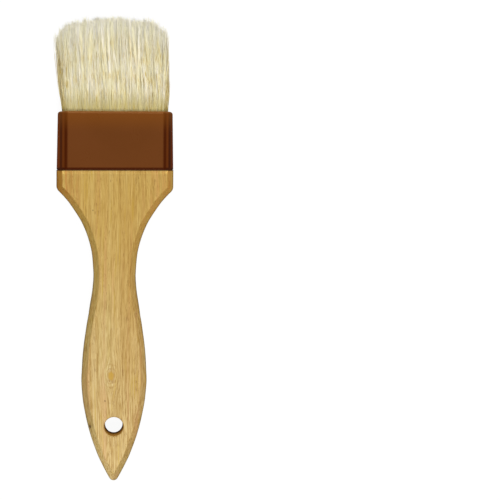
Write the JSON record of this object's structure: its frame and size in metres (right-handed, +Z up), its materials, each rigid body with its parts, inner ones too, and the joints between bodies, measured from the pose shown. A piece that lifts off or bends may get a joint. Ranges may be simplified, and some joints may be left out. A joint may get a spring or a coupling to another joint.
{
  "type": "pastry brush",
  "caption": "Flat pastry brush with natural bristles, a moulded ferrule and a waisted wooden handle with a hanging hole.",
  "frame": {"origin": "under the middle of the brush's box, in the plane of the ferrule's back face", "axes": "+Y along the brush from the handle's tip to the bristle ends, +X across its width, +Z up through its thickness, away from the face that it lies on"},
  "size_m": [0.055, 0.2204, 0.015],
  "materials": {
    "wood": "sanded, unvarnished pale hardwood",
    "ferrule_plastic": "glossy moulded brown plastic",
    "resin": "set resin, dull",
    "filler_board": "raw wood strip",
    "bristle": "bleached natural bristle, fine and slightly shiny"
  },
  "bodies": {
    "root": {"handle": "wood", "ferrule": "ferrule_plastic", "epoxy_plug": "resin", "filler_strip": "filler_board", "bristles_front": "bristle", "bristles_back": "bristle"}
  },
  "joints": []
}
